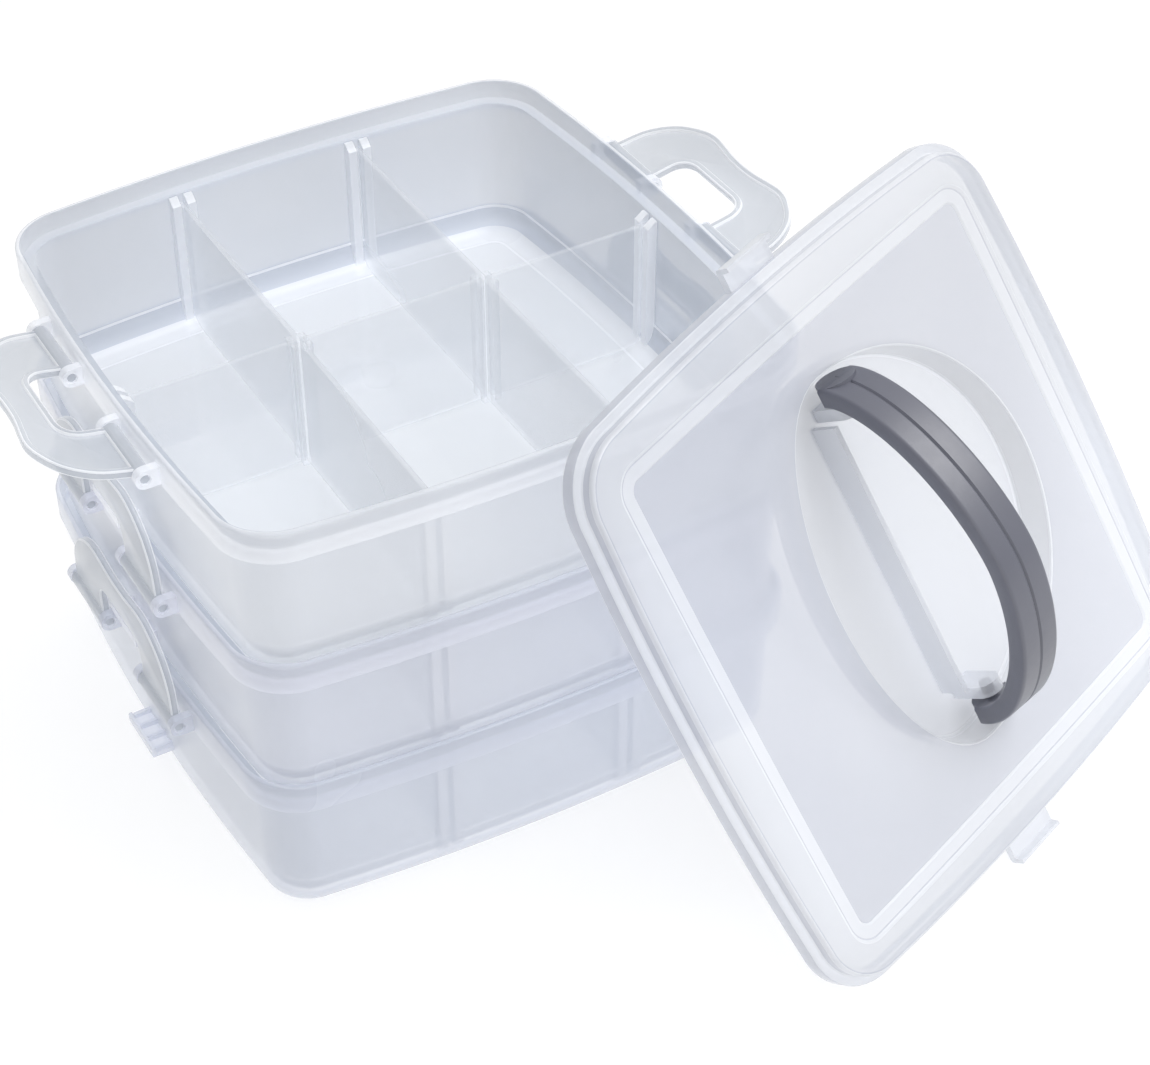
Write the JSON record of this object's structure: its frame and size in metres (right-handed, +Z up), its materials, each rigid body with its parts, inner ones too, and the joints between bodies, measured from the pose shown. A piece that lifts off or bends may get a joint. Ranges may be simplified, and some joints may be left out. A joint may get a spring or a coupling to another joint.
{
  "type": "sewing box with trays",
  "caption": "Square stacking sewing box: clear nesting trays with slot-in dividers and side latches, and a lid with a folding carry handle, standing open against the stack.",
  "frame": {"origin": "centre of the stack's footprint, on the surface it stands on", "axes": "+Z up, +X towards the right-hand latches, -Y towards the front, where the lid leans on the right-hand corner"},
  "size_m": [0.2705, 0.2396, 0.149],
  "materials": {
    "tray": "clear, lightly frosted",
    "divider": "clear, lightly frosted",
    "latch": "clear, lightly frosted",
    "lid": "clear, lightly frosted",
    "handle": "satin charcoal"
  },
  "bodies": {
    "tray_bottom": {"tray_bottom": "tray", "bottom_long_divider_1": "divider", "bottom_long_divider_2": "divider", "bottom_cross_divider_1": "divider", "bottom_cross_divider_2": "divider", "bottom_cross_divider_3": "divider"},
    "latch_bottom_left": {"latch_bottom_left": "latch"},
    "latch_bottom_right": {"latch_bottom_right": "latch"},
    "tray_middle": {"tray_middle": "tray", "middle_long_divider_1": "divider", "middle_long_divider_2": "divider", "middle_cross_divider_1": "divider", "middle_cross_divider_2": "divider", "middle_cross_divider_3": "divider"},
    "latch_middle_left": {"latch_middle_left": "latch"},
    "latch_middle_right": {"latch_middle_right": "latch"},
    "tray_top": {"tray_top": "tray"},
    "top_long_divider_1": {"top_long_divider_1": "divider"},
    "top_long_divider_2": {"top_long_divider_2": "divider"},
    "top_cross_divider_1": {"top_cross_divider_1": "divider"},
    "top_cross_divider_2": {"top_cross_divider_2": "divider"},
    "top_cross_divider_3": {"top_cross_divider_3": "divider"},
    "latch_top_left": {"latch_top_left": "latch"},
    "latch_top_right": {"latch_top_right": "latch"},
    "lid": {"lid": "lid"},
    "handle": {"handle": "handle"}
  },
  "joints": [
    {"name": "middle_tray_lift", "type": "slide", "parent": "tray_bottom", "child": "tray_middle", "axis": [0, 0, 1], "range_m": [0, 0.04]},
    {"name": "top_tray_lift", "type": "slide", "parent": "tray_middle", "child": "tray_top", "axis": [0, 0, 1], "range_m": [0, 0.04]},
    {"name": "bottom_left_latch_open", "type": "hinge", "parent": "tray_bottom", "child": "latch_bottom_left", "pos_m": [-0.0804, 0, 0.0404], "axis": [0, -1, 0], "range_deg": [0, 118]},
    {"name": "bottom_right_latch_open", "type": "hinge", "parent": "tray_bottom", "child": "latch_bottom_right", "pos_m": [0.0804, 0, 0.0404], "axis": [0, 1, 0], "range_deg": [0, 118]},
    {"name": "middle_left_latch_open", "type": "hinge", "parent": "tray_middle", "child": "latch_middle_left", "pos_m": [-0.0804, 0, 0.0792], "axis": [0, -1, 0], "range_deg": [0, 118]},
    {"name": "middle_right_latch_open", "type": "hinge", "parent": "tray_middle", "child": "latch_middle_right", "pos_m": [0.0804, 0, 0.0792], "axis": [0, 1, 0], "range_deg": [0, 118]},
    {"name": "top_left_latch_close", "type": "hinge", "parent": "tray_top", "child": "latch_top_left", "pos_m": [-0.0804, 0, 0.118], "axis": [0, 1, 0], "range_deg": [0, 78]},
    {"name": "top_right_latch_close", "type": "hinge", "parent": "tray_top", "child": "latch_top_right", "pos_m": [0.0804, 0, 0.118], "axis": [0, -1, 0], "range_deg": [0, 78]},
    {"name": "top_long_divider_1_lift", "type": "slide", "parent": "tray_top", "child": "top_long_divider_1", "axis": [0, 0, 1], "range_m": [0, 0.045]},
    {"name": "top_long_divider_2_lift", "type": "slide", "parent": "tray_top", "child": "top_long_divider_2", "axis": [0, 0, 1], "range_m": [0, 0.045]},
    {"name": "top_cross_divider_1_lift", "type": "slide", "parent": "tray_top", "child": "top_cross_divider_1", "axis": [0, 0, 1], "range_m": [0, 0.045]},
    {"name": "top_cross_divider_2_lift", "type": "slide", "parent": "tray_top", "child": "top_cross_divider_2", "axis": [0, 0, 1], "range_m": [0, 0.045]},
    {"name": "top_cross_divider_3_lift", "type": "slide", "parent": "tray_top", "child": "top_cross_divider_3", "axis": [0, 0, 1], "range_m": [0, 0.045]},
    {"name": "lid_lift", "type": "slide", "parent": "tray_top", "child": "lid", "axis": [0, 0, 1], "range_m": [0, 0.16]},
    {"name": "handle_swing", "type": "hinge", "parent": "lid", "child": "handle", "pos_m": [0.08631, -0.10246, 0.07678], "axis": [0.256, -0.451, -0.855], "range_deg": [-98, 4]}
  ],
  "couplings": [
    {"joint": "bottom_left_latch_open", "follows": "middle_tray_lift", "rad_per_m": 47.9},
    {"joint": "bottom_right_latch_open", "follows": "middle_tray_lift", "rad_per_m": 47.9},
    {"joint": "middle_left_latch_open", "follows": "top_tray_lift", "rad_per_m": 47.9},
    {"joint": "middle_right_latch_open", "follows": "top_tray_lift", "rad_per_m": 47.9}
  ]
}
